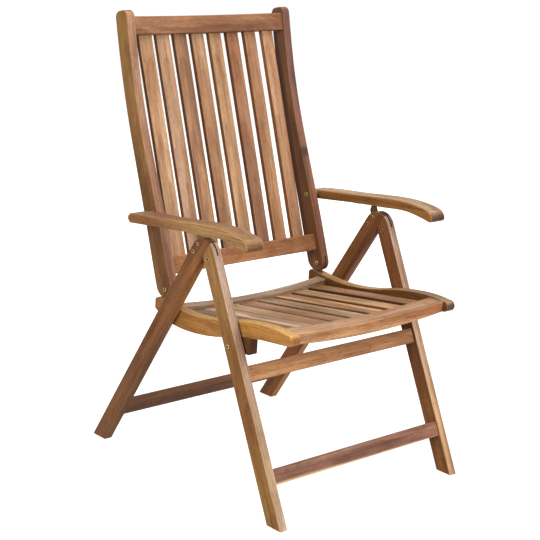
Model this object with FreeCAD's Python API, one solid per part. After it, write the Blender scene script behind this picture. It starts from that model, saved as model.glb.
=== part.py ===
import FreeCAD, Part
import math
import os

# Folding armchair of solid teak, standing open on its four feet.
# X runs across the chair, Y from the front (minus) to the rear (plus), Z up. Millimetres.
# Left is minus X. Every piece is made for the right side and mirrored for the left.

# Crossed legs, seen from the side
LEG_INNER_X = 262.0
LEG_THICK = 23.0
LEG_WIDE = 40.0
FRONT_FOOT_REAR_Y = -301.0
FRONT_LEAN = 25.4
REAR_FOOT_FRONT_Y = 298.0
CROTCH = (-43.5, 542.3)
PIVOT_TO_FRONT_LEG_EDGE = 16.8
PIVOT_TO_REAR_LEG_FACE = 17.3
LEG_STOP_GAP = 0.2

# Stretchers: top corner of the front face (y, z), height, thickness
UPPER_FRONT_STRETCHER = (-183.0, 325.5, 35.5, 21.0)
LOWER_FRONT_STRETCHER = (-285.0, 119.0, 34.5, 22.0)
REAR_STRETCHER = (236.0, 104.0, 37.0, 22.0)
STRETCHER_TENON = 14.0

# Hinge points, seen from the side (y, z)
SEAT_PIVOT = (-143.6, 362.6)
BACK_HINGE = (123.1, 420.4)
ARM_PIVOT = (176.3, 586.0)
CATCH_PIN = (-20.0, 596.0)
PLATE_RIVET_FRONT = (80.0, 370.0)
PLATE_RIVET_REAR = (122.0, 381.0)
PLATE_RIVET_TIP_X = 236.0

# Steel plates let into saw kerfs
PLATE_THICK = 3.0
PLATE_X = 273.6
KERF_CLEARANCE = 0.5
LEG_KERF_SLANT = 40.0
LEG_KERF_BELOW_PIVOT = 14.0
STILE_KERF_ABOVE_HINGE = 13.0
HINGE_PLATE_X = 241.5

# Seat
RAIL_INNER_X = 231.5
RAIL_THICK = 27.0
RAIL_REAR_Y = 152.0
RAIL_OUTER_X = RAIL_INNER_X + RAIL_THICK
BLOCK_THICK = 21.5
BLOCK_Y = (-187.0, -108.0)
BLOCK_Z = (349.0, 400.0)
SEAT_SLATS = 8
SEAT_SLAT_PITCH = 56.5
SEAT_SLAT_WIDE = 45.5
SEAT_SLAT_THICK = 12.0
SEAT_SLAT_FRONT_TOP = 409.5
SEAT_SLAT_REAR_TOP = 364.5
SEAT_SLAT_DISH = 8.0
SEAT_SLAT_TENON = 8.0
FRONT_RAIL_Y = (-301.0, -257.0)
FRONT_RAIL_TOP = (417.5, 426.0)
FRONT_RAIL_BOTTOM = (389.0, 401.0)
FRONT_RAIL_TENON = ((406.0, 420.0), (-289.0, -269.0), 14.0)
REAR_RAIL_Y = (89.0, 119.0)
REAR_RAIL_TOP = (372.5, 386.0)
REAR_RAIL_BOTTOM = (343.0, 357.0)
REAR_RAIL_TENON = ((362.0, 380.0), (97.0, 111.0), 8.0)

# Back
STILE_INNER_X = 230.0
STILE_THICK = 23.0
BACK_LEAN = 19.8
STILE_TOP_ROUND = 15.0
# Faces of the upright: distance up from the hinge, distance behind it
STILE_FRONT = (
    (646.5, -38.3), (560.0, -26.8), (480.0, -19.0), (400.0, -15.4), (320.0, -16.0),
    (240.0, -18.6), (160.0, -21.4), (80.0, -22.6), (2.4, -22.4),
)
STILE_FOOT_FRONT = ((-13.4, -15.8), (-20.0, 0.0))
STILE_FOOT_REAR = (-10.8, 22.2)
STILE_REAR = (
    (11.4, 31.4), (80.0, 30.6), (160.0, 29.2), (240.0, 28.8), (320.0, 28.6),
    (400.0, 27.6), (480.0, 24.0), (560.0, 17.0), (652.0, 5.2),
)
# Back rails: top corner of the front face (y, z), height, thickness, lean
TOP_RAIL = (309.5, 1025.5, 42.0, 30.0, 14.4)
BOTTOM_RAIL = (138.5, 491.5, 40.5, 29.0, 16.5)
BACK_HOLLOW = 12.4
BACK_SLATS = 8
BACK_SLAT_PITCH = 54.4
BACK_SLAT_WIDE = 38.0
BACK_SLAT_THICK = 12.4
BACK_SLAT_FOOT = (150.5, 490.4)
BACK_SLAT_HEAD = (310.9, 983.4)
BACK_SLAT_TENON = 12.0
BACK_RAIL_TENON = 14.0

# Arms
ARM_INNER_X = 262.0
ARM_WIDE = 48.0
ARM_BOLT_DEPTH = 30.0
GROOVE_WIDE = 7.4
GROOVE_DEEP = 16.0
RACK_REAR_Y = 25.0
RACK_FRONT_Y = -124.0
RACK_FLANGE = 20.0
RACK_WALL = 1.6
RACK_TOOTH_ABOVE_PIN = 7.9
RACK_NOTCHES = 5
RACK_NOTCH_PITCH = 22.0

# Fasteners
PIVOT_BOLT_R = 4.0
RIVET_R = 3.6
SMALL_RIVET_R = 3.0
CATCH_PIN_R = 3.0
RUNNING_GAP = 0.05
EASE = 2.5

WASHER_R = 10.0
WASHER_GAP = 0.3

# Fastener heads: radius, height, corner reach of the socket
PIVOT_BOLT_HEAD = (5.6, 1.5, 3.2)
RIVET_HEAD = (5.2, 1.2, 3.0)
SMALL_RIVET_HEAD = (4.8, 1.0, 2.7)

os.makedirs("parts", exist_ok=True)
NODES = {}


def at(y, z, x=0.0):
    return FreeCAD.Vector(x, y, z)


def along(point, angle, distance):
    """The point a distance away, at an angle in degrees from +Y towards +Z."""
    turn = math.radians(angle)
    return (point[0] + distance * math.cos(turn), point[1] + distance * math.sin(turn))


def line(start, end):
    return Part.LineSegment(at(*start), at(*end)).toShape()


def arc(start, middle, end):
    return Part.Arc(at(*start), at(*middle), at(*end)).toShape()


def curve(points):
    spline = Part.BSplineCurve()
    spline.interpolate([at(*point) for point in points])
    return spline.toShape()


def polygon(points):
    return [line(points[i], points[(i + 1) % len(points)]) for i in range(len(points))]


def board(edges, x_near, x_far):
    """A side-view outline made solid between two distances across the chair."""
    face = Part.Face(Part.Wire(Part.__sortEdges__(edges)))
    face.translate(FreeCAD.Vector(x_near, 0, 0))
    return face.extrude(FreeCAD.Vector(x_far - x_near, 0, 0))


def cross_edge_at(solid, point):
    """The edge that runs across the chair nearest to a point of the side view."""
    best = None
    for edge in solid.Edges:
        first, last = edge.Vertexes[0].Point, edge.Vertexes[-1].Point
        if abs(first.y - last.y) + abs(first.z - last.z) > 0.01:
            continue
        away = math.hypot(first.y - point[0], first.z - point[1])
        if best is None or away < best[0]:
            best = (away, edge)
    return best[1]


def round_corner(solid, point, radius):
    return solid.makeFillet(radius, [cross_edge_at(solid, point)])


def ease_sides(solid, radius=EASE):
    """Break the long edges all round the two side faces of a board."""
    reach = [vertex.X for vertex in solid.Vertexes]
    rim = []
    for edge in solid.Edges:
        middle = edge.valueAt((edge.FirstParameter + edge.LastParameter) / 2).x
        ends = [vertex.X for vertex in edge.Vertexes]
        for side in (min(reach), max(reach)):
            if all(abs(x - side) < 0.01 for x in ends + [middle]):
                rim.append(edge)
    return solid.makeFillet(radius, rim)


def ease_along(solid, direction, radius=EASE):
    """Break the edges of a bar that run along its length."""
    chosen = []
    for edge in solid.Edges:
        way = edge.Vertexes[-1].Point.sub(edge.Vertexes[0].Point)
        if way.Length > 60 and way.normalize().cross(direction).Length < 0.2:
            chosen.append(edge)
    return solid.makeFillet(radius, chosen)


def pin(point, x_from, x_to, radius):
    start = at(point[0], point[1], x_from)
    return Part.makeCylinder(radius, x_to - x_from, start, FreeCAD.Vector(1, 0, 0))


def button(point, x_face, outward, head_size):
    """A low domed head on a face, with a hexagon socket."""
    radius, height, recess = head_size
    way = FreeCAD.Vector(outward, 0, 0)
    head = Part.makeCylinder(radius, height, at(point[0], point[1], x_face), way)
    outer_x = x_face + outward * height
    flat = [edge for edge in head.Edges if edge.BoundBox.XLength < 0.01]
    rim = [edge for edge in flat if abs(edge.BoundBox.XMin - outer_x) < 0.01]
    head = head.makeFillet(height * 0.7, rim)
    corners = [along(point, 60 * i, recess) for i in range(6)]
    depth = height * 0.6
    near, far = sorted((outer_x - outward * depth, outer_x + outward))
    return head.cut(board(polygon(corners), near, far))


def bolt(point, x_from, x_to, radius, head_size):
    """A shank across the chair with a domed head at each end."""
    shank = pin(point, x_from, x_to, radius)
    shank = shank.fuse(button(point, x_from, -1, head_size))
    return shank.fuse(button(point, x_to, 1, head_size)).removeSplitter()


def strap(start, start_radius, end, end_radius):
    """A flat link in the side view: two discs and their outer tangents."""
    gap_y, gap_z = end[0] - start[0], end[1] - start[1]
    length = math.hypot(gap_y, gap_z)
    heading = math.degrees(math.atan2(gap_z, gap_y))
    lean = math.degrees(math.acos((start_radius - end_radius) / length))
    corners = [
        along(start, heading + lean, start_radius),
        along(end, heading + lean, end_radius),
        along(end, heading - lean, end_radius),
        along(start, heading - lean, start_radius),
    ]
    half = PLATE_THICK / 2
    link = board(polygon(corners), -half, half)
    link = link.fuse(pin(start, -half, half, start_radius))
    return link.fuse(pin(end, -half, half, end_radius))


def mirrored(shape):
    return shape.mirror(at(0, 0), FreeCAD.Vector(1, 0, 0))


def keep(name, *solids):
    shape = solids[0] if len(solids) == 1 else Part.makeCompound(list(solids))
    NODES[name] = shape


def keep_pair(name, shape):
    NODES[name + "_right"] = shape
    NODES[name + "_left"] = mirrored(shape)


# Side-view lines of the legs
FRONT_DIR = 90 - FRONT_LEAN
REAR_DIR = math.degrees(math.atan2(CROTCH[1], CROTCH[0] - REAR_FOOT_FRONT_Y))
FRONT_FOOT = (FRONT_FOOT_REAR_Y, 0.0)
REAR_FOOT = (REAR_FOOT_FRONT_Y, 0.0)


def leg_pivot_point():
    """The point at the stated distances from the front leg's edge and the rear leg's face."""
    first = math.radians(FRONT_DIR)
    second = math.radians(REAR_DIR)
    a, b = (-math.sin(first), math.cos(first)), (-math.sin(second), math.cos(second))
    p, q = PIVOT_TO_FRONT_LEG_EDGE, PIVOT_TO_REAR_LEG_FACE
    det = a[0] * b[1] - a[1] * b[0]
    y = (p * b[1] - q * a[1]) / det
    z = (a[0] * q - b[0] * p) / det
    return (CROTCH[0] + y, CROTCH[1] + z)


LEG_PIVOT = leg_pivot_point()
LEG_OUTER_X = LEG_INNER_X + LEG_THICK
UPPER_BRACKET_RIVET = (-25.7, 567.3)
LOWER_BRACKET_RIVET = (-11.2, 546.6)


def stretcher(corner, lean):
    """A bar between the two legs of a pair, lying parallel to them, with a tenon at each end."""
    y, z, height, thick = corner
    top = (y, z)
    bottom = along(top, lean + 180, height)
    rear = lean - 90
    outline = [top, bottom, along(bottom, rear, thick), along(top, rear, thick)]
    bar = ease_along(board(polygon(outline), -LEG_INNER_X, LEG_INNER_X), FreeCAD.Vector(1, 0, 0))
    inset = 6.0
    inner = along(along(top, lean + 180, inset), rear, inset)
    low = along(inner, lean + 180, height - 2 * inset)
    core = [inner, low, along(low, rear, thick - 2 * inset), along(inner, rear, thick - 2 * inset)]
    reach = LEG_INNER_X + STRETCHER_TENON
    return bar.fuse(board(polygon(core), -reach, reach)).removeSplitter()


def front_leg():
    front_top = along(CROTCH, FRONT_DIR + 90, LEG_WIDE)
    front_foot_y = FRONT_FOOT_REAR_Y - LEG_WIDE / math.sin(math.radians(FRONT_DIR))
    stop = along(CROTCH, REAR_DIR + 90, LEG_STOP_GAP)
    tip = along(stop, REAR_DIR, math.sqrt(LEG_WIDE ** 2 - LEG_STOP_GAP ** 2))
    middle = along(CROTCH, (FRONT_DIR + 90 + REAR_DIR) / 2, LEG_WIDE)
    edges = [
        line((front_foot_y, 0.0), front_top),
        arc(front_top, middle, tip),
        line(tip, stop),
        line(stop, FRONT_FOOT),
        line(FRONT_FOOT, (front_foot_y, 0.0)),
    ]
    leg = board(edges, LEG_INNER_X, LEG_OUTER_X)
    leg = round_corner(leg, stop, PIVOT_TO_FRONT_LEG_EDGE)
    return ease_sides(leg)


def rear_leg():
    rear_top = along(CROTCH, REAR_DIR - 90, LEG_WIDE)
    tip = along(CROTCH, REAR_DIR, LEG_WIDE)
    rear_foot = (REAR_FOOT_FRONT_Y + LEG_WIDE / math.sin(math.radians(REAR_DIR)), 0.0)
    edges = [
        line(REAR_FOOT, rear_foot),
        line(rear_foot, rear_top),
        arc(rear_top, along(CROTCH, REAR_DIR - 45, LEG_WIDE), tip),
        line(tip, REAR_FOOT),
    ]
    return ease_sides(board(edges, LEG_INNER_X, LEG_OUTER_X), 2.0)


def kerf(edges, centre_x, wide):
    return board(edges, centre_x - wide / 2, centre_x + wide / 2)


def half_plane_above(point, angle, reach=140.0):
    """A large square in the side view, on the far side of a line through a point."""
    left = along(point, angle + 90, reach)
    right = along(point, angle - 90, reach)
    return polygon([left, right, along(right, angle, reach), along(left, angle, reach)])


def leg_bracket():
    plate = strap(LEG_PIVOT, 13.0, LOWER_BRACKET_RIVET, 10.0)
    plate = plate.fuse(strap(LEG_PIVOT, 13.0, UPPER_BRACKET_RIVET, 10.5))
    plate = plate.fuse(strap(LOWER_BRACKET_RIVET, 10.0, UPPER_BRACKET_RIVET, 10.5))
    plate = plate.fuse(strap(UPPER_BRACKET_RIVET, 11.5, (CATCH_PIN[0], CATCH_PIN[1] - 15.0), 11.5))
    plate = plate.fuse(strap((CATCH_PIN[0], CATCH_PIN[1] - 12.0), 10.0, CATCH_PIN, 4.5))
    plate = plate.removeSplitter()
    plate.translate(FreeCAD.Vector(PLATE_X, 0, 0))
    return plate


def drill(solid, point, radius):
    box = solid.BoundBox
    return solid.cut(pin(point, box.XMin - 1, box.XMax + 1, radius))


def make_legs():
    lower = stretcher(LOWER_FRONT_STRETCHER, FRONT_DIR)
    upper = stretcher(UPPER_FRONT_STRETCHER, FRONT_DIR)
    rear = stretcher(REAR_STRETCHER, REAR_DIR)
    keep("front_lower_stretcher", lower)
    keep("front_upper_stretcher", upper)
    keep("rear_stretcher", rear)

    front = front_leg().cut(lower).cut(upper)
    slant = FRONT_DIR - LEG_KERF_SLANT
    front_kerf_foot = along(LEG_PIVOT, slant + 180, LEG_KERF_BELOW_PIVOT)
    wide = PLATE_THICK + 2 * KERF_CLEARANCE
    front = front.cut(kerf(half_plane_above(front_kerf_foot, slant), PLATE_X, wide))
    front = drill(drill(front, LEG_PIVOT, RIVET_R), SEAT_PIVOT, PIVOT_BOLT_R)
    keep_pair("front_leg", front)

    back = rear_leg().cut(rear)
    rear_kerf_foot = along(LOWER_BRACKET_RIVET, REAR_DIR + 180, 12.0)
    back = back.cut(kerf(half_plane_above(rear_kerf_foot, REAR_DIR), PLATE_X, PLATE_THICK))
    for rivet in (UPPER_BRACKET_RIVET, LOWER_BRACKET_RIVET):
        back = drill(back, rivet, SMALL_RIVET_R)
    keep_pair("rear_leg", back)

    bracket = drill(leg_bracket(), LEG_PIVOT, RIVET_R + RUNNING_GAP)
    for rivet in (UPPER_BRACKET_RIVET, LOWER_BRACKET_RIVET):
        bracket = drill(bracket, rivet, SMALL_RIVET_R)
    bracket = drill(bracket, CATCH_PIN, CATCH_PIN_R)
    keep_pair("leg_bracket", bracket)

    pivot = bolt(LEG_PIVOT, LEG_INNER_X, LEG_OUTER_X, RIVET_R, RIVET_HEAD)
    keep("leg_pivot_rivets", pivot, mirrored(pivot))
    rivets = []
    for point in (UPPER_BRACKET_RIVET, LOWER_BRACKET_RIVET):
        rivet = bolt(point, LEG_INNER_X, LEG_OUTER_X, SMALL_RIVET_R, SMALL_RIVET_HEAD)
        rivets += [rivet, mirrored(rivet)]
    keep("bracket_rivets", *rivets)
    reach = GROOVE_WIDE / 2 - 0.4
    catch = pin(CATCH_PIN, PLATE_X - reach, PLATE_X + reach, CATCH_PIN_R)
    keep("catch_pins", catch, mirrored(catch))


def seat_side_rail():
    top = [
        (RAIL_REAR_Y, 398.5), (99.0, 393.5), (40.0, 389.0), (-20.0, 392.0),
        (-80.0, 401.5), (-143.0, 416.5), (-210.0, 427.0), (-263.0, 430.0), (-300.0, 427.0),
    ]
    bottom = [
        (-304.0, 402.0), (-250.0, 396.5), (-178.0, 386.5), (-91.0, 364.5),
        (-32.0, 352.5), (40.0, 346.0), (90.0, 348.5), (RAIL_REAR_Y, 371.0),
    ]
    edges = [
        curve(top),
        arc(top[-1], (-316.0, 415.5), bottom[0]),
        curve(bottom),
        line(bottom[-1], top[0]),
    ]
    rail = board(edges, RAIL_INNER_X, RAIL_INNER_X + RAIL_THICK)
    rail = round_corner(rail, top[0], 8.0)
    rail = round_corner(rail, bottom[-1], 4.0)
    return ease_sides(rail)


def dished_rail(span_y, top, bottom, tenon_z, tenon_y, tenon_long):
    """A cross rail between the side rails, lower in the middle than at its ends."""
    def edge_points(heights):
        stations = ((-RAIL_INNER_X, heights[1]), (0, heights[0]), (RAIL_INNER_X, heights[1]))
        return [FreeCAD.Vector(x, 0, z) for x, z in stations]
    high, low = edge_points(top), edge_points(bottom)
    edges = [
        Part.Arc(*high).toShape(),
        Part.LineSegment(high[2], low[2]).toShape(),
        Part.Arc(*low).toShape(),
        Part.LineSegment(low[0], high[0]).toShape(),
    ]
    face = Part.Face(Part.Wire(Part.__sortEdges__(edges)))
    face.translate(FreeCAD.Vector(0, span_y[0], 0))
    bar = face.extrude(FreeCAD.Vector(0, span_y[1] - span_y[0], 0))
    long_edges = [e for e in bar.Edges if e.BoundBox.XLength > RAIL_INNER_X]
    bar = bar.makeFillet(EASE, long_edges)
    reach = RAIL_INNER_X + tenon_long
    core = [
        (tenon_y[0], tenon_z[0]), (tenon_y[1], tenon_z[0]),
        (tenon_y[1], tenon_z[1]), (tenon_y[0], tenon_z[1]),
    ]
    for side in (-1, 1):
        near, far = sorted((side * (RAIL_INNER_X - 1.0), side * reach))
        bar = bar.fuse(board(polygon(core), near, far))
    return bar.removeSplitter()


def dish(x):
    """How much higher a seat slat lies than the chair's centre line."""
    outer = SEAT_SLAT_PITCH * (SEAT_SLATS - 1) / 2
    return SEAT_SLAT_DISH * (x / outer) ** 2


def seat_slat(x):
    front_y, rear_y = FRONT_RAIL_Y[1], REAR_RAIL_Y[0]
    front_z, rear_z = SEAT_SLAT_FRONT_TOP + dish(x), SEAT_SLAT_REAR_TOP + dish(x)
    slope = math.degrees(math.atan2(front_z - rear_z, front_y - rear_y))
    back = slope + 180
    start = along((front_y, front_z), slope, SEAT_SLAT_TENON)
    end = along((rear_y, rear_z), back, SEAT_SLAT_TENON)
    down = slope + 90
    outline = [start, end, along(end, down, SEAT_SLAT_THICK), along(start, down, SEAT_SLAT_THICK)]
    half = SEAT_SLAT_WIDE / 2
    slat = board(polygon(outline), x - half, x + half)
    return ease_along(slat, FreeCAD.Vector(0, 1, 0))


def hinge_plate():
    """The plate let into the seat rail that stands up out of it and carries the back's hinge pin."""
    plate = strap(PLATE_RIVET_FRONT, 8.0, PLATE_RIVET_REAR, 9.0)
    plate = plate.fuse(strap(PLATE_RIVET_REAR, 9.0, BACK_HINGE, 10.0)).removeSplitter()
    plate.translate(FreeCAD.Vector(HINGE_PLATE_X, 0, 0))
    return plate


def make_seat():
    front = dished_rail(FRONT_RAIL_Y, FRONT_RAIL_TOP, FRONT_RAIL_BOTTOM, *FRONT_RAIL_TENON)
    rear = dished_rail(REAR_RAIL_Y, REAR_RAIL_TOP, REAR_RAIL_BOTTOM, *REAR_RAIL_TENON)
    slats = []
    for i in range(SEAT_SLATS):
        x = (i - (SEAT_SLATS - 1) / 2) * SEAT_SLAT_PITCH
        slat = seat_slat(x)
        slats.append(slat)
        keep("seat_slat_%d" % (i + 1), slat)
    for slat in slats:
        front = front.cut(slat)
        rear = rear.cut(slat)
    keep("seat_front_rail", front)
    keep("seat_rear_rail", rear)

    whole_rail = seat_side_rail()
    plate = hinge_plate()
    rail = whole_rail.cut(front).cut(rear).cut(plate)
    rivets = []
    for point in (PLATE_RIVET_FRONT, PLATE_RIVET_REAR):
        plate = drill(plate, point, SMALL_RIVET_R)
        shank = pin(point, PLATE_RIVET_TIP_X, RAIL_OUTER_X, SMALL_RIVET_R)
        rail = rail.cut(shank)
        rivet = shank.fuse(button(point, RAIL_OUTER_X, 1, SMALL_RIVET_HEAD)).removeSplitter()
        rivets += [rivet, mirrored(rivet)]
    keep_pair("seat_side_rail", rail)
    keep_pair("back_hinge_plate", drill(plate, BACK_HINGE, RIVET_R + RUNNING_GAP))
    keep("hinge_plate_rivets", *rivets)

    block_inner_x = RAIL_OUTER_X - BLOCK_THICK
    front_y, rear_y = BLOCK_Y
    bottom_z, top_z = BLOCK_Z
    corners = [(front_y, top_z), (front_y, bottom_z), (rear_y, bottom_z), (rear_y, top_z)]
    block = board(polygon(corners), block_inner_x, RAIL_OUTER_X)
    block = round_corner(block, corners[1], 5.0)
    block = round_corner(block, corners[2], 14.0)
    block = block.cut(whole_rail)
    block = sorted(block.Solids, key=lambda s: s.CenterOfMass.z)[0]
    keep_pair("seat_pivot_block", drill(block, SEAT_PIVOT, PIVOT_BOLT_R + RUNNING_GAP))
    pivot = bolt(SEAT_PIVOT, block_inner_x, LEG_OUTER_X, PIVOT_BOLT_R, PIVOT_BOLT_HEAD)
    washer = pin(SEAT_PIVOT, RAIL_OUTER_X + WASHER_GAP, LEG_INNER_X, WASHER_R)
    pivot = pivot.fuse(washer)
    keep("seat_pivot_bolts", pivot, mirrored(pivot))


def from_hinge(up, behind):
    """A point of the side view given along the back's upright and square to it."""
    heading = 90 - BACK_LEAN
    return along(along(BACK_HINGE, heading, up), heading - 90, behind)


def back_stile():
    """The back upright: deeper at its foot, its top bent gently forward."""
    front = [from_hinge(*point) for point in STILE_FRONT]
    rear = [from_hinge(*point) for point in STILE_REAR]
    round_front, foot = [from_hinge(*point) for point in STILE_FOOT_FRONT]
    edges = [
        curve(front),
        arc(front[-1], round_front, foot),
        arc(foot, from_hinge(*STILE_FOOT_REAR), rear[0]),
        curve(rear),
        line(rear[-1], front[0]),
    ]
    stile = board(edges, STILE_INNER_X, STILE_INNER_X + STILE_THICK)
    for tip in (front[0], rear[-1]):
        stile = round_corner(stile, tip, STILE_TOP_ROUND)
    return ease_sides(stile)


def hollow(x):
    """How far the back lies behind the line between its uprights."""
    return BACK_HOLLOW * (1 - (x / STILE_INNER_X) ** 2)


def back_rail(corner):
    """A rail between the uprights, hollowed towards the rear, with a tenon at each end."""
    y, z, height, thick, lean = corner
    span = STILE_INNER_X
    top = (y, z)
    rear = -lean
    arcs = []
    for depth in (0.0, thick):
        stations = [(x, along(top, rear, depth + hollow(x))) for x in (-span, 0.0, span)]
        arcs.append([at(*point, x) for x, point in stations])
    near, far = arcs
    face = Part.Face(Part.Wire(Part.__sortEdges__([
        Part.Arc(*near).toShape(),
        Part.LineSegment(near[2], far[2]).toShape(),
        Part.Arc(*far).toShape(),
        Part.LineSegment(far[0], near[0]).toShape(),
    ])))
    drop = along((0.0, 0.0), 270 - lean, height)
    bar = face.extrude(at(*drop))
    bar = bar.makeFillet(EASE, [edge for edge in bar.Edges if edge.BoundBox.XLength > span])
    inset = 7.0
    inner = along(along(top, 270 - lean, inset), rear, inset)
    low = along(inner, 270 - lean, height - 2 * inset)
    core = [inner, low, along(low, rear, thick - 2 * inset), along(inner, rear, thick - 2 * inset)]
    for side in (-1, 1):
        ends = sorted((side * (span - 3.0), side * (span + BACK_RAIL_TENON)))
        bar = bar.fuse(board(polygon(core), *ends))
    return bar.removeSplitter()


def back_slat(x):
    """A slat set square to the hollow of the back."""
    run, rise = BACK_SLAT_HEAD[0] - BACK_SLAT_FOOT[0], BACK_SLAT_HEAD[1] - BACK_SLAT_FOOT[1]
    heading = math.degrees(math.atan2(rise, run))
    start = along(BACK_SLAT_FOOT, heading + 180, BACK_SLAT_TENON)
    end = along(BACK_SLAT_HEAD, heading, BACK_SLAT_TENON)
    rear = heading - 90
    outline = [start, end, along(end, rear, BACK_SLAT_THICK), along(start, rear, BACK_SLAT_THICK)]
    half = BACK_SLAT_WIDE / 2
    upwards = at(run, rise).normalize()
    slat = ease_along(board(polygon(outline), -half, half), upwards, 2.0)
    slope = 2 * BACK_HOLLOW * x / STILE_INNER_X ** 2
    slat.rotate(at(*start), upwards, math.degrees(math.atan(slope)))
    behind = along((0.0, 0.0), rear, hollow(x))
    slat.translate(at(*behind, x))
    return slat


def make_back():
    top = back_rail(TOP_RAIL)
    bottom = back_rail(BOTTOM_RAIL)
    stile = back_stile().cut(top).cut(bottom)
    for i in range(BACK_SLATS):
        x = (i - (BACK_SLATS - 1) / 2) * BACK_SLAT_PITCH
        slat = back_slat(x)
        keep("back_slat_%d" % (i + 1), slat)
        top = top.cut(slat)
        bottom = bottom.cut(slat)
    keep("back_top_rail", top)
    keep("back_bottom_rail", bottom)

    heading = 90 - BACK_LEAN
    kerf_top = along(BACK_HINGE, heading, STILE_KERF_ABOVE_HINGE)
    wide = PLATE_THICK + 2 * KERF_CLEARANCE
    stile = stile.cut(kerf(half_plane_above(kerf_top, heading + 180, 60.0), HINGE_PLATE_X, wide))
    stile = drill(stile, BACK_HINGE, RIVET_R + RUNNING_GAP)
    stile = drill(stile, ARM_PIVOT, PIVOT_BOLT_R + RUNNING_GAP)
    keep_pair("back_stile", stile)
    outer_x = STILE_INNER_X + STILE_THICK
    hinge = bolt(BACK_HINGE, STILE_INNER_X, outer_x, RIVET_R, RIVET_HEAD)
    keep("back_hinge_pins", hinge, mirrored(hinge))
    shank = pin(ARM_PIVOT, STILE_INNER_X, ARM_INNER_X + ARM_BOLT_DEPTH, PIVOT_BOLT_R)
    shank = shank.fuse(button(ARM_PIVOT, STILE_INNER_X, -1, PIVOT_BOLT_HEAD))
    shank = shank.fuse(pin(ARM_PIVOT, outer_x + WASHER_GAP, ARM_INNER_X - WASHER_GAP, WASHER_R))
    keep("arm_pivot_bolts", shank, mirrored(shank))


def armrest():
    top = [
        (188.0, 594.0), (124.0, 602.0), (49.0, 609.0), (-56.0, 621.0),
        (-130.0, 625.5), (-188.0, 621.0), (-207.0, 615.5), (-218.0, 601.0),
    ]
    bottom = [
        (-206.0, 591.5), (-171.0, 598.0), (-131.0, 602.0), (-71.0, 597.5),
        (12.0, 590.5), (119.0, 579.0), (190.0, 571.0),
    ]
    edges = [
        curve(top),
        arc(top[-1], (-215.5, 593.5), bottom[0]),
        curve(bottom),
        arc(bottom[-1], (200.0, 582.5), top[0]),
    ]
    arm = board(edges, ARM_INNER_X, ARM_INNER_X + ARM_WIDE)
    return ease_sides(arm, 4.0)


def underside(y):
    """Height of the line on which the rack lies, level with the arm's underside."""
    slope = (597.5 - 590.5) / (-71.0 - 12.0)
    return 593.2 + slope * (y - CATCH_PIN[0])


def rack_outline(y_rear, y_front, low, high):
    return polygon([
        (y_rear, underside(y_rear) + low), (y_front, underside(y_front) + low),
        (y_front, underside(y_front) + high), (y_rear, underside(y_rear) + high),
    ])


def arm_rack():
    """A channel let into the arm, open below, with a row of notches for the catch pin."""
    half = GROOVE_WIDE / 2
    pin_height = CATCH_PIN[1] - underside(CATCH_PIN[0])
    teeth = pin_height + RACK_TOOTH_ABOVE_PIN
    inner_rear, inner_front = RACK_REAR_Y - 2.0, RACK_FRONT_Y + 2.0
    channel = board(rack_outline(RACK_REAR_Y, RACK_FRONT_Y, teeth, GROOVE_DEEP), -half, half)
    hollow = board(rack_outline(inner_rear, inner_front, teeth - 9.0, GROOVE_DEEP - RACK_WALL),
                   RACK_WALL - half, half - RACK_WALL)
    channel = channel.cut(hollow)
    for i in range(RACK_NOTCHES):
        y = CATCH_PIN[0] + RACK_NOTCH_PITCH * (1 - i)
        centre = (y, underside(y) + teeth)
        channel = channel.cut(pin(centre, -GROOVE_WIDE, GROOVE_WIDE, CATCH_PIN_R + 0.4))
    for y_out, y_in in ((RACK_REAR_Y, RACK_REAR_Y - 2.0), (RACK_FRONT_Y, RACK_FRONT_Y + 2.0)):
        web = board(rack_outline(max(y_out, y_in), min(y_out, y_in), -1.2, GROOVE_DEEP), -half, half)
        channel = channel.fuse(web)
    for y_out, side in ((RACK_REAR_Y, 1), (RACK_FRONT_Y, -1)):
        ends = sorted((y_out - 2.0 * side, y_out + (RACK_FLANGE - 2.0) * side))
        flange = board(rack_outline(ends[1], ends[0], -1.2, 0.6), -half - 2.0, half + 2.0)
        channel = channel.fuse(flange)
    channel = channel.removeSplitter()
    channel.translate(FreeCAD.Vector(PLATE_X, 0, 0))
    return channel


def rack_screw(y):
    foot = FreeCAD.Vector(PLATE_X, y, underside(y) - 1.8)
    up = FreeCAD.Vector(0, 0, 1)
    head = Part.makeCone(3.6, 1.6, 2.4, foot, up)
    return head.fuse(Part.makeCylinder(1.5, 13.0, foot, up)).removeSplitter()


def make_arms():
    arm = armrest()
    half = GROOVE_WIDE / 2
    groove_outline = rack_outline(RACK_REAR_Y, RACK_FRONT_Y, -12.0, GROOVE_DEEP)
    groove = board(groove_outline, PLATE_X - half, PLATE_X + half)
    rack = arm_rack()
    screws = [rack_screw(RACK_REAR_Y + RACK_FLANGE / 2), rack_screw(RACK_FRONT_Y - RACK_FLANGE / 2)]
    arm = arm.cut(groove).cut(rack)
    for screw in screws:
        arm = arm.cut(screw)
        rack = rack.cut(screw)
    hole_depth = ARM_BOLT_DEPTH + 0.5
    hole = pin(ARM_PIVOT, ARM_INNER_X - 1, ARM_INNER_X + hole_depth, PIVOT_BOLT_R + RUNNING_GAP)
    keep_pair("armrest", arm.cut(hole))
    keep_pair("arm_rack", rack)
    keep("rack_screws_right", *screws)
    keep("rack_screws_left", *[mirrored(screw) for screw in screws])


make_legs()
make_seat()
make_back()
make_arms()

for name in sorted(NODES):
    NODES[name].exportStep("parts/%s.step" % name)
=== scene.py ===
import math
import bpy
from mathutils import Matrix, Vector


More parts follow.
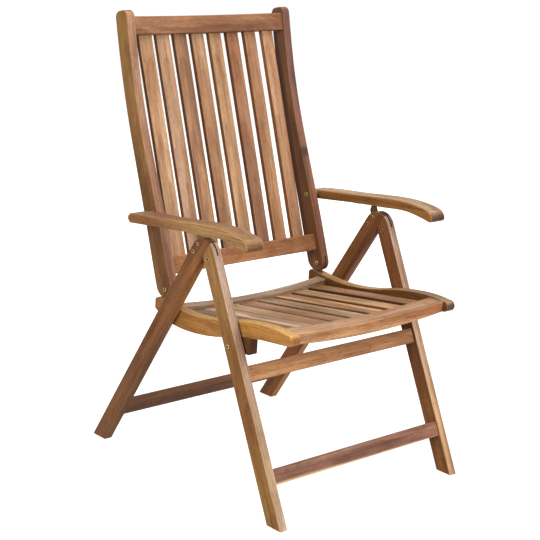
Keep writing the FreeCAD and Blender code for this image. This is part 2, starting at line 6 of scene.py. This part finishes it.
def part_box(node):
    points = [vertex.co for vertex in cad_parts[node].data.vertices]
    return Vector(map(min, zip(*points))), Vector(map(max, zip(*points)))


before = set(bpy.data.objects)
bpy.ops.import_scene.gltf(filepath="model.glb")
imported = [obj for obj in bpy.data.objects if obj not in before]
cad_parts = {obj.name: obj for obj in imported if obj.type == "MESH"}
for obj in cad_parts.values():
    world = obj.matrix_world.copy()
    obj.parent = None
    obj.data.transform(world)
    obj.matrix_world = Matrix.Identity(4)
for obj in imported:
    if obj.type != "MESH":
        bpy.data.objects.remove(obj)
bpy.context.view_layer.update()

# A folding armchair of oiled teak, standing open. Metres, and degrees for leans.
# X runs across the chair, Y from the front (minus) to the rear (plus), Z up.

# Leans of the boards from upright, towards the rear
FRONT_LEG_LEAN = 25.4
REAR_LEG_LEAN = -32.2
STILE_LEAN = 20.5
BACK_SLAT_LEAN = 18.0
BACK_RAIL_LEAN = 15.5
SEAT_SLAT_FALL = -7.4
SEAT_RAIL_FALL = -3.5
ARM_FALL = -4.0

# Fasteners seen from the side: (y, z)
LEG_PIVOT = (-0.0629, 0.5406)
UPPER_BRACKET_RIVET = (-0.0257, 0.5673)
LOWER_BRACKET_RIVET = (-0.0112, 0.5466)
SEAT_PIVOT = (-0.1436, 0.3626)
BACK_HINGE = (0.1231, 0.4204)
ARM_PIVOT = (0.1763, 0.5860)
PLATE_RIVET_FRONT = (0.0800, 0.3700)
PLATE_RIVET_REAR = (0.1220, 0.3810)

# The eye: bearing and height in degrees, distance in metres, lens in millimetres
EYE_BEARING = -42.6287
EYE_HEIGHT = 15.0425
EYE_ROLL = 3.368
EYE_DISTANCE = 3.4774
EYE_AIM = (0.0, 0.044, 0.5)
EYE_SHIFT_RIGHT = -0.0004
EYE_SHIFT_UP = -0.0468
EYE_LENS = 97.947
FILM_WIDE = 36.0


class Wire:
    """A value inside a finish, used in ordinary arithmetic."""

    def __init__(self, socket):
        self.socket = socket

    def math(self, operation, first, second=0.0):
        node = self.socket.id_data.nodes.new("ShaderNodeMath")
        node.operation = operation
        plug(node.inputs[0], first)
        plug(node.inputs[1], second)
        return Wire(node.outputs[0])

    def __add__(self, other):
        return self.math("ADD", self, other)

    def __radd__(self, other):
        return self.math("ADD", other, self)

    def __sub__(self, other):
        return self.math("SUBTRACT", self, other)

    def __rsub__(self, other):
        return self.math("SUBTRACT", other, self)

    def __mul__(self, other):
        return self.math("MULTIPLY", self, other)

    def __rmul__(self, other):
        return self.math("MULTIPLY", other, self)

    def __truediv__(self, other):
        return self.math("DIVIDE", self, other)

    def __pow__(self, other):
        return self.math("POWER", self, other)

    def __abs__(self):
        return self.math("ABSOLUTE", self)

    def fraction(self):
        return self.math("FRACT", self)

    def at_least(self, other):
        return self.math("MAXIMUM", self, other)


def plug(target, value):
    """Feed a socket from another part of the finish, or set its own value."""
    if isinstance(value, Wire):
        target.id_data.links.new(value.socket, target)
    else:
        target.default_value = value


class Finish:
    """The nodes of one material, or of the sky."""

    def __init__(self, holder):
        holder.use_nodes = True
        self.holder = holder
        self.tree = holder.node_tree
        self.tree.nodes.clear()

    def node(self, kind, settings, inputs, output=0):
        made = self.tree.nodes.new(kind)
        for setting, value in settings.items():
            setattr(made, setting, value)
        for socket, value in inputs.items():
            plug(made.inputs[socket], value)
        return Wire(made.outputs[output]) if len(made.outputs) else None

    def blend(self, share, first, second, how="MIX"):
        """Two colours mixed by a share from 0 to 1."""
        settings = {"data_type": "RGBA", "blend_type": how}
        return self.node("ShaderNodeMix", settings, {0: share, 6: first, 7: second}, 2)

    def ease(self, value, low, high):
        """0 below low, 1 above high, and a soft step between."""
        settings = {"interpolation_type": "SMOOTHSTEP"}
        inputs = {"Value": value, "From Min": low, "From Max": high}
        return self.node("ShaderNodeMapRange", settings, inputs)

    def parts(self, vector):
        split = self.node("ShaderNodeSeparateXYZ", {}, {"Vector": vector})
        return [Wire(socket) for socket in split.socket.node.outputs]

    def vector_math(self, operation, *values):
        return self.node("ShaderNodeVectorMath", {"operation": operation}, dict(enumerate(values)))

    def noise(self, place, along, across, detail, output="Fac"):
        """Cloudy variation with so many cells a metre along and across the grain."""
        spread = self.vector_math("MULTIPLY", place, (along, across, across))
        inputs = {"Vector": spread, "Scale": 1.0, "Detail": detail}
        return self.node("ShaderNodeTexNoise", {}, inputs, output)

    def surface(self, colour, roughness, normal, metallic=0.0, gloss=0.5):
        inputs = {"Base Color": colour, "Roughness": roughness, "Normal": normal, "Metallic": metallic,
                  "Specular IOR Level": gloss}
        shader = self.node("ShaderNodeBsdfPrincipled", {}, inputs)
        self.node("ShaderNodeOutputMaterial", {}, {"Surface": shader})
        return self.holder


def tone(red, green, blue):
    """A colour as given, 0 to 255, turned into light."""
    def light(level):
        share = level / 255
        return share / 12.92 if share <= 0.04045 else ((share + 0.055) / 1.055) ** 2.4
    return (light(red), light(green), light(blue), 1.0)


def upright(lean, face):
    """Grain and width directions of a board that leans in the side view."""
    turn = math.radians(lean)
    grain = Vector((0, math.sin(turn), math.cos(turn)))
    if face == "front":
        return grain, Vector((1, 0, 0))
    return grain, Vector((0, math.cos(turn), -math.sin(turn)))


def crosswise(lean):
    """Grain and width directions of a bar that runs across the chair."""
    turn = math.radians(lean)
    return Vector((1, 0, 0)), Vector((0, math.sin(turn), math.cos(turn)))


def lengthwise(fall, face):
    """Grain and width directions of a board that runs from front to rear."""
    turn = math.radians(fall)
    grain = Vector((0, math.cos(turn), math.sin(turn)))
    if face == "top":
        return grain, Vector((1, 0, 0))
    return grain, Vector((0, -math.sin(turn), math.cos(turn)))


FRONT_LEG = upright(FRONT_LEG_LEAN, "side")
REAR_LEG = upright(REAR_LEG_LEAN, "side")
STILE = upright(STILE_LEAN, "side")
BACK_SLAT = upright(BACK_SLAT_LEAN, "front")
LEG_BAR = crosswise(FRONT_LEG_LEAN)
REAR_BAR = crosswise(REAR_LEG_LEAN)
BACK_BAR = crosswise(BACK_RAIL_LEAN)
SEAT_BAR = crosswise(0.0)
SEAT_SLAT = lengthwise(SEAT_SLAT_FALL, "top")
SEAT_RAIL = lengthwise(SEAT_RAIL_FALL, "side")
ARM = lengthwise(ARM_FALL, "top")


def lay_grain(finish, node, grain, width):
    """Coordinates of one board: along its grain, over its width, and through it."""
    low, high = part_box(node)
    centre = (low + high) / 2
    through = grain.cross(width)
    turn = Matrix((grain, width, through)).transposed().to_euler()
    place = finish.node("ShaderNodeTexCoord", {}, {}, "Object")
    settings = {"vector_type": "TEXTURE"}
    inputs = {"Vector": place, "Location": centre, "Rotation": turn}
    return place, finish.node("ShaderNodeMapping", settings, inputs)


# Painted shade in the rim round each fastener
RIM_SHADE = tone(48, 30, 20)
PORE = tone(70, 42, 26)
RUBBED = tone(196, 156, 116)
LATE_WOOD = (196, 176, 158)

# The figure of teak: cells a metre along the grain and across it, and how finely they break up
SWAY = (5.0, 14.0, 2.0)
BROAD = (2.4, 34.0, 3.0)
CLOUDS = (9.0, 22.0, 2.0)
RIBBONS = (3.0, 95.0, 3.0)
STRANDS = (8.0, 230.0, 3.0)
FIBRES = (24.0, 950.0, 2.0)
PORES = (60.0, 700.0, 1.0)
SAP_EDGE = (6.0, 20.0, 2.0)

# Growth rings: the tree's heart from the middle of the board, over and through it
HEART = (0.004, -0.05)
RING_WIDE = 0.0065
RING_WAVER = 0.014

# How far apart the boards are cut from the same figure
NEXT_BOARD = 1.37
RIM_INNER = 0.0002
RIM_OUTER = 0.0016
KNOT_STRETCH = 1.8
SAP_WAVER = 0.006


def growth_rings(finish, board, tilt):
    """Dark bands where the board cuts the tree's growth rings, from 0 to 1."""
    sway = finish.noise(board, *SWAY, "Color")
    bent = finish.vector_math("MULTIPLY_ADD", sway, (0.0, RING_WAVER, RING_WAVER), board)
    along, over, through = finish.parts(bent)
    side = over - HEART[0] + along * tilt[0]
    deep = through - HEART[1] + along * tilt[1]
    radius = (side * side + deep * deep) ** 0.5
    phase = (radius / RING_WIDE).fraction()
    return finish.ease(phase, 0.35, 0.98) * (1 - finish.ease(phase, 0.985, 1.0))


def distance_from(y, z, spot):
    """Distance from a fastener's axis, which runs across the chair."""
    side, up = y - spot[0], z - spot[1]
    return (side * side + up * up) ** 0.5


def fastener_marks(finish, place, colour, marks):
    """A dark rim of painted shade in the wood round each fastener, as round a sunken head."""
    x, y, z = finish.parts(place)
    for spot, reach in marks:
        away = distance_from(y, z, spot)
        rim_shade_share = (1 - finish.ease(away, reach + RIM_INNER, reach + RIM_OUTER)) * 0.75
        colour = finish.blend(rim_shade_share, colour, RIM_SHADE)
    return colour


def teak(name, node, board_axes, look):
    """Oiled teak: rings, broad streaks, fine fibres and open pores along the grain."""
    finish = Finish(bpy.data.materials.new(name))
    place, laid = lay_grain(finish, node, *board_axes)
    board = finish.vector_math("ADD", laid, (look["seed"] * NEXT_BOARD, 0.0, 0.0))

    broad = finish.ease(finish.noise(board, *BROAD), 0.38, 0.62)
    cloud = finish.ease(finish.noise(board, *CLOUDS), 0.3, 0.7)
    colour = finish.blend(broad * 0.7 + cloud * 0.3, tone(*look["light"]), tone(*look["dark"]))
    # The far end's tone: partly the wood's own, partly painted light and shade
    if look["far"]:
        colour = tone_and_shade_drift(finish, node, board_axes[0], laid, colour, look["far"])
    rings = growth_rings(finish, laid, look["tilt"])
    colour = finish.blend(rings * look["rings"], colour, shaded(finish, colour, LATE_WOOD))
    ribbons = finish.ease(finish.noise(board, *RIBBONS), look["streak_from"], 0.70)
    colour = finish.blend(ribbons * look["streaks"], colour, tone(*look["streak"]))

    strands = finish.noise(board, *STRANDS)
    colour = finish.blend(0.4, colour, strands, "OVERLAY")
    fibres = finish.noise(board, *FIBRES)
    colour = finish.blend(0.4, colour, fibres, "OVERLAY")
    pores = finish.ease(finish.noise(board, *PORES), 0.58, 0.68)
    colour = finish.blend(pores * 0.45, colour, PORE)
    for spot, reach, shade in look["knots"]:
        colour = knot(finish, laid, colour, spot, reach, shade)
    if look["sap"]:
        colour = sapwood(finish, laid, colour, *look["sap"])
    colour = painted_shade_and_wear(finish, colour, board_axes, look)
    colour = fastener_marks(finish, place, colour, look["marks"])
    height = fibres * 0.6 - pores * 0.5 + strands * 0.5
    inputs = {"Strength": 0.35, "Distance": 0.0005, "Height": height}
    normal = finish.node("ShaderNodeBump", {}, inputs)
    return finish.surface(colour, 0.56 + broad * 0.08 + pores * 0.2, normal, gloss=0.18)


def tone_and_shade_drift(finish, node, grain, laid, colour, far):
    """The board's tone changes slowly towards the far end, partly the wood's own tone and partly painted
    light and shade; the far end gives back this share of the light.
    """
    low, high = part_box(node)
    half = sum(abs(part) * size for part, size in zip(grain, high - low)) / 2
    along, over, through = finish.parts(laid)
    changed = finish.blend(1.0, colour, (*far, 1.0), "MULTIPLY")
    return finish.blend(finish.ease(along, -half * 0.8, half * 0.8), colour, changed)


def painted_shade_and_wear(finish, colour, board_axes, look):
    """Faces that look across the chair, and up where a board gives a top tone, get painted shade; end
    grain drinks in the oil and shows darker, and the corners are rubbed paler.
    """
    grain, width = board_axes
    facing = finish.node("ShaderNodeTexCoord", {}, {}, "Normal")
    across, forward, upward = finish.parts(facing)
    # Painted shade: faces that look across the chair take the board's side tone
    sideways = finish.ease(abs(across), 0.45, 0.85)
    colour = finish.blend(sideways, colour, shaded(finish, colour, look["side"]))
    # Painted shade: faces that look up take the board's top tone, where it has one
    if look["top"]:
        colour = finish.blend(finish.ease(upward, 0.7, 0.9), colour, shaded(finish, colour, look["top"]))
    ending = abs(facing_share(finish, facing, grain))
    sawn = finish.ease(ending, 0.5, 0.9)
    colour = finish.blend(sawn, colour, shaded(finish, colour, look["end"]))
    over = abs(facing_share(finish, facing, width))
    through = abs(facing_share(finish, facing, grain.cross(width)))
    flatness = over.at_least(through).at_least(ending)
    rubbed = (1 - finish.ease(flatness, 0.80, 0.97)) * 0.14
    return finish.blend(rubbed, colour, RUBBED)


def facing_share(finish, facing, direction):
    """How squarely a face looks along a direction, -1 to 1."""
    settings = {"operation": "DOT_PRODUCT"}
    return finish.node("ShaderNodeVectorMath", settings, {0: facing, 1: direction}, "Value")


def shaded(finish, colour, shade):
    """A colour seen through a thin layer of another."""
    return finish.blend(1.0, colour, tone(*shade), "MULTIPLY")


def knot(finish, laid, colour, spot, reach, shade):
    """A dark eye in the grain, drawn out along the board."""
    along, over, through = finish.parts(laid)
    side = (along - spot[0]) / KNOT_STRETCH
    up = over - spot[1]
    away = (side * side + up * up) ** 0.5
    eye = 1 - finish.ease(away, reach * 0.35, reach)
    return finish.blend(eye * 0.8, colour, tone(*shade))


def sapwood(finish, laid, colour, start, end, pale):
    """The pale young wood along one edge of a board."""
    along, over, through = finish.parts(laid)
    waver = finish.noise(laid, *SAP_EDGE) * SAP_WAVER
    return finish.blend(finish.ease(over + waver, start, end), colour, tone(*pale))


def dress(node, material):
    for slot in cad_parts[node].material_slots:
        slot.material = material


# Fasteners with a rim of painted shade round them in the wood, and the reach of their heads
LEG_SHADE_RIMS = [(LEG_PIVOT, 0.0052), (SEAT_PIVOT, 0.0056)]
REAR_LEG_SHADE_RIMS = [(UPPER_BRACKET_RIVET, 0.0048), (LOWER_BRACKET_RIVET, 0.0048)]
STILE_SHADE_RIMS = [(BACK_HINGE, 0.0052), (ARM_PIVOT, 0.0056)]

# A plain board; each board of the chair changes some of it. Its side and top tones are painted shade on
# faces that look across the chair and up.
PLAIN = {
    "seed": 0, "far": None, "side": (200, 190, 180), "top": None, "end": (190, 176, 166),
    "streak": (96, 62, 44), "streaks": 0.3, "streak_from": 0.55, "rings": 0.35, "tilt": (0.01, 0.04),
    "knots": (), "sap": None, "marks": (),
}
EYE_OF_KNOT = (44, 26, 22)
SAP_TONE = (214, 176, 128)


def board(light, dark, **changes):
    """How one board looks: its light and dark tone, and what else sets it apart."""
    return dict(PLAIN, light=light, dark=dark, **changes)


BOARDS = {
    "front_leg_left": (FRONT_LEG, board(
        (204, 181, 154), (162, 129, 98), seed=1, far=(1.01, 1.02, 1.17), side=(191, 160, 103),
        marks=LEG_SHADE_RIMS)),
    "front_leg_right": (FRONT_LEG, board(
        (214, 178, 135), (155, 115, 76), seed=2, far=(0.80, 0.80, 1.11), side=(159, 123, 83),
        marks=LEG_SHADE_RIMS)),
    "front_upper_stretcher": (LEG_BAR, board(
        (197, 145, 97), (164, 112, 73), seed=3, far=(0.70, 0.65, 0.65), top=(212, 186, 150))),
    "front_lower_stretcher": (LEG_BAR, board(
        (171, 128, 102), (115, 78, 61), seed=4, far=(0.75, 0.65, 0.65), top=(198, 188, 178),
        streak=(92, 58, 50), streaks=0.75, streak_from=0.48, sap=(-0.009, -0.014, SAP_TONE))),
    "rear_leg_left": (REAR_LEG, board(
        (149, 102, 60), (105, 67, 40), seed=5, far=(1.34, 1.34, 1.24), marks=REAR_LEG_SHADE_RIMS)),
    "rear_leg_right": (REAR_LEG, board(
        (181, 123, 72), (132, 82, 50), seed=6, far=(0.72, 0.74, 0.80), marks=REAR_LEG_SHADE_RIMS)),
    "rear_stretcher": (REAR_BAR, board((135, 89, 54), (98, 61, 37), seed=7)),
    "seat_side_rail_left": (SEAT_RAIL, board(
        (228, 173, 92), (189, 123, 72), seed=8, far=(0.78, 0.79, 0.75), top=(216, 232, 250))),
    "seat_side_rail_right": (SEAT_RAIL, board(
        (136, 107, 70), (93, 65, 42), seed=9, far=(1.55, 1.55, 1.40), side=(180, 148, 101))),
    "seat_front_rail": (SEAT_BAR, board(
        (220, 172, 126), (164, 112, 72), seed=10, far=(0.82, 0.72, 0.65), top=(212, 226, 244))),
    "seat_rear_rail": (SEAT_BAR, board((171, 148, 119), (115, 87, 67), seed=11)),
    "seat_pivot_block_left": (SEAT_RAIL, board(
        (130, 86, 52), (98, 61, 37), seed=12, side=(192, 189, 171))),
    "seat_pivot_block_right": (SEAT_RAIL, board((150, 104, 66), (112, 74, 47), seed=13)),
    "back_stile_left": (STILE, board(
        (142, 98, 75), (102, 68, 48), seed=14, far=(1.30, 1.54, 1.55), side=(223, 216, 158),
        marks=STILE_SHADE_RIMS)),
    "back_stile_right": (STILE, board(
        (137, 91, 64), (97, 60, 42), seed=15, far=(0.67, 0.71, 0.92), side=(229, 220, 168),
        marks=STILE_SHADE_RIMS, streak=(70, 44, 34), streaks=0.5,
        knots=[((-0.034, -0.0125), 0.010, EYE_OF_KNOT)])),
    "back_top_rail": (BACK_BAR, board(
        (148, 103, 70), (110, 68, 44), seed=16, far=(0.94, 0.95, 0.99), top=(180, 164, 148),
        tilt=(0.09, 0.06), rings=0.25)),
    "back_bottom_rail": (BACK_BAR, board(
        (169, 115, 75), (143, 94, 59), seed=17, far=(0.77, 0.79, 0.79))),
    "armrest_left": (ARM, board(
        (155, 119, 75), (123, 86, 52), seed=18, far=(0.93, 0.83, 0.68), side=(255, 255, 255),
        top=(225, 222, 239))),
    "armrest_right": (ARM, board(
        (162, 131, 99), (115, 85, 59), seed=19, far=(0.85, 0.85, 0.80), side=(232, 204, 140),
        end=(150, 130, 116))),
}
# Slats from left to right: light tone, dark tone, and what changes
BACK_SLATS = [
    ((188, 150, 114), (160, 114, 81), {"far": (0.98, 1.05, 1.06)}),
    ((174, 139, 113), (153, 116, 87), {"far": (0.92, 0.87, 0.77), "rings": 0.3}),
    ((171, 126, 91), (132, 94, 68),
     {"far": (0.65, 0.65, 0.67), "rings": 0.4, "streak": (92, 66, 56), "streaks": 0.55}),
    ((155, 119, 88), (131, 91, 65), {"far": (1.33, 1.42, 1.35)}),
    ((176, 139, 102), (150, 111, 78), {"far": (0.92, 0.87, 0.87)}),
    ((145, 105, 79), (122, 83, 59), {"far": (1.17, 1.09, 1.00), "rings": 0.4}),
    ((175, 133, 96), (146, 103, 70), {"far": (0.94, 0.93, 1.00)}),
    ((168, 126, 94), (146, 101, 73), {"far": (1.33, 1.51, 1.55)}),
]
SEAT_SLATS = [
    ((115, 86, 56), (80, 53, 30), {}),
    ((190, 159, 133), (128, 100, 76), {}),
    ((145, 108, 79), (100, 69, 43), {"far": (1.35, 1.55, 1.55)}),
    ((144, 105, 76), (105, 76, 51), {}),
    ((160, 133, 105), (113, 85, 56), {}),
    ((182, 142, 99), (122, 87, 57), {}),
    ((170, 132, 93), (116, 83, 51), {}),
    ((135, 96, 63), (89, 61, 34), {}),
]
# Each set of slats: its rows, how the grain runs, the painted shade of the sides, and where its seeds
# begin
SLAT_SETS = {
    "back_slat": (BACK_SLATS, BACK_SLAT, (180, 146, 100), 20),
    "seat_slat": (SEAT_SLATS, SEAT_SLAT, (168, 144, 116), 30),
}
for kind, (rows, axes, side, first_seed) in SLAT_SETS.items():
    for number, (light, dark, changes) in enumerate(rows, start=1):
        look = board(light, dark, seed=first_seed + number, side=side, **changes)
        BOARDS["%s_%d" % (kind, number)] = (axes, look)

for node, (axes, look) in BOARDS.items():
    dress(node, teak("teak_" + node, node, axes, look))

BRASS = tone(190, 160, 104)
TARNISH = tone(128, 98, 58)
PLATE_BRASS = tone(112, 98, 62)
PLATE_TARNISH = tone(74, 62, 40)
# Painted shade in the socket of each head
SOCKET_SHADE = tone(34, 26, 20)
BLOOM = (220.0, 220.0, 3.0)
SCUFFS = (900.0, 900.0, 2.0)


def brass(name, heads, clean=BRASS, dull=TARNISH):
    """Brass with a little tarnish, and painted shade in the socket in the middle of each head."""
    finish = Finish(bpy.data.materials.new(name))
    place = finish.node("ShaderNodeTexCoord", {}, {}, "Object")
    bloom = finish.noise(place, *BLOOM)
    colour = finish.blend(finish.ease(bloom, 0.35, 0.7), clean, dull)
    x, y, z = finish.parts(place)
    for spot, reach in heads:
        socket_shade_share = 1 - finish.ease(distance_from(y, z, spot), reach * 0.9, reach * 1.1)
        colour = finish.blend(socket_shade_share, colour, SOCKET_SHADE)
    inputs = {"Strength": 0.15, "Distance": 0.0002, "Height": finish.noise(place, *SCUFFS)}
    normal = finish.node("ShaderNodeBump", {}, inputs)
    return finish.surface(colour, 0.32 + bloom * 0.2, normal, 0.85)


# Reach of the sockets in the heads, and where each kind of fastener has one
SOCKET = 0.0030
SMALL_SOCKET = 0.0027
FASTENERS = {
    "leg_pivot_rivets": [(LEG_PIVOT, SOCKET)],
    "bracket_rivets": [(UPPER_BRACKET_RIVET, SMALL_SOCKET), (LOWER_BRACKET_RIVET, SMALL_SOCKET)],
    "seat_pivot_bolts": [(SEAT_PIVOT, SOCKET)],
    "back_hinge_pins": [(BACK_HINGE, SOCKET)],
    "arm_pivot_bolts": [(ARM_PIVOT, SOCKET)],
    "hinge_plate_rivets": [(PLATE_RIVET_FRONT, SMALL_SOCKET), (PLATE_RIVET_REAR, SMALL_SOCKET)],
    "catch_pins": [],
    "rack_screws_left": [],
    "rack_screws_right": [],
}
for node, heads in FASTENERS.items():
    dress(node, brass("brass_" + node, heads))

plate_brass = brass("brass_plate", [], PLATE_BRASS, PLATE_TARNISH)
for node in ("leg_bracket", "back_hinge_plate", "arm_rack"):
    dress(node + "_left", plate_brass)
    dress(node + "_right", plate_brass)


def backdrop_share(finish):
    """1 for what the eye sees, directly or mirrored in metal."""
    path = finish.node("ShaderNodeLightPath", {}, {}, "Is Camera Ray")
    outputs = path.socket.node.outputs
    glossy, through = Wire(outputs["Is Glossy Ray"]), Wire(outputs["Is Transmission Ray"])
    return path.at_least(glossy).at_least(through)


FLOOR_REACH = 40.0
FLOOR_TONE = (0.3, 0.3, 0.3, 1.0)
FLOOR_GLOW = 0.9
SKY_LIGHT = 0.42
WHITE = (1.0, 1.0, 1.0, 1.0)


def make_floor():
    """A pale floor that glows as white as the sky and keeps the chair's shadow."""
    finish = Finish(bpy.data.materials.new("pale_floor"))
    diffuse = finish.node("ShaderNodeBsdfDiffuse", {}, {"Color": FLOOR_TONE})
    glow = finish.node("ShaderNodeEmission", {}, {"Strength": FLOOR_GLOW})
    seen = finish.node("ShaderNodeMixShader", {}, {0: backdrop_share(finish), 2: glow})
    both = finish.node("ShaderNodeAddShader", {}, {0: diffuse, 1: seen})
    finish.node("ShaderNodeOutputMaterial", {}, {"Surface": both})
    mesh = bpy.data.meshes.new("floor")
    corners = [(-1, -1), (1, -1), (1, 1), (-1, 1)]
    spots = [(x * FLOOR_REACH, y * FLOOR_REACH, 0.0) for x, y in corners]
    mesh.from_pydata(spots, [], [(0, 1, 2, 3)])
    mesh.materials.append(finish.holder)
    floor = bpy.data.objects.new("floor", mesh)
    bpy.context.scene.collection.objects.link(floor)


def make_sky():
    """An even pale light from all round, seen as plain white behind the chair."""
    world = bpy.data.worlds.new("studio")
    bpy.context.scene.world = world
    finish = Finish(world)
    light = finish.node("ShaderNodeBackground", {}, {"Color": WHITE, "Strength": SKY_LIGHT})
    seen = finish.node("ShaderNodeBackground", {}, {"Color": WHITE, "Strength": 1.0})
    both = finish.node("ShaderNodeMixShader", {}, {0: backdrop_share(finish), 1: light, 2: seen})
    finish.node("ShaderNodeOutputWorld", {}, {"Surface": both})


def make_lamp(name, place, size, power):
    """A round soft lamp that looks at the middle of the chair."""
    light = bpy.data.lights.new(name, "AREA")
    light.shape = "DISK"
    light.size = size
    light.energy = power
    lamp = bpy.data.objects.new(name, light)
    lamp.location = place
    sight = Vector(CHAIR_MIDDLE) - Vector(place)
    lamp.rotation_euler = sight.to_track_quat("-Z", "Y").to_euler()
    bpy.context.scene.collection.objects.link(lamp)


def make_eye():
    """The camera, low at the left front corner of the chair."""
    bearing, height, roll = (math.radians(a) for a in (EYE_BEARING, EYE_HEIGHT, EYE_ROLL))
    level = math.cos(height)
    back = Vector((math.sin(bearing) * level, -math.cos(bearing) * level, math.sin(height)))
    right = Vector((0, 0, 1)).cross(back).normalized()
    up = back.cross(right)
    aim = Vector(EYE_AIM) + EYE_SHIFT_RIGHT * right + EYE_SHIFT_UP * up
    rolled_right = math.cos(roll) * right + math.sin(roll) * up
    rolled_up = math.cos(roll) * up - math.sin(roll) * right
    camera = bpy.data.cameras.new("eye")
    camera.lens = EYE_LENS
    camera.sensor_width = FILM_WIDE
    eye = bpy.data.objects.new("eye", camera)
    turn = Matrix((rolled_right, rolled_up, back)).transposed().to_4x4()
    eye.matrix_world = Matrix.Translation(aim + EYE_DISTANCE * back) @ turn
    bpy.context.scene.collection.objects.link(eye)
    bpy.context.scene.camera = eye


# Soft lamps: place and size in metres, power in watts
CHAIR_MIDDLE = (0.0, 0.0, 0.5)
LAMPS = {
    "key": ((0.9, -3.6, 2.3), 1.6, 105.0),
    "top": ((-0.4, -0.4, 3.6), 2.4, 76.0),
    "fill_left": ((-3.4, -0.6, 1.5), 1.8, 88.0),
    "fill_right": ((3.5, 0.4, 1.2), 1.8, 150.0),
    "rear": ((0.6, 3.6, 1.5), 1.8, 80.0),
}
make_floor()
make_sky()
for name, (place, size, power) in LAMPS.items():
    make_lamp(name, place, size, power)
make_eye()
bpy.context.scene.view_settings.view_transform = "Standard"
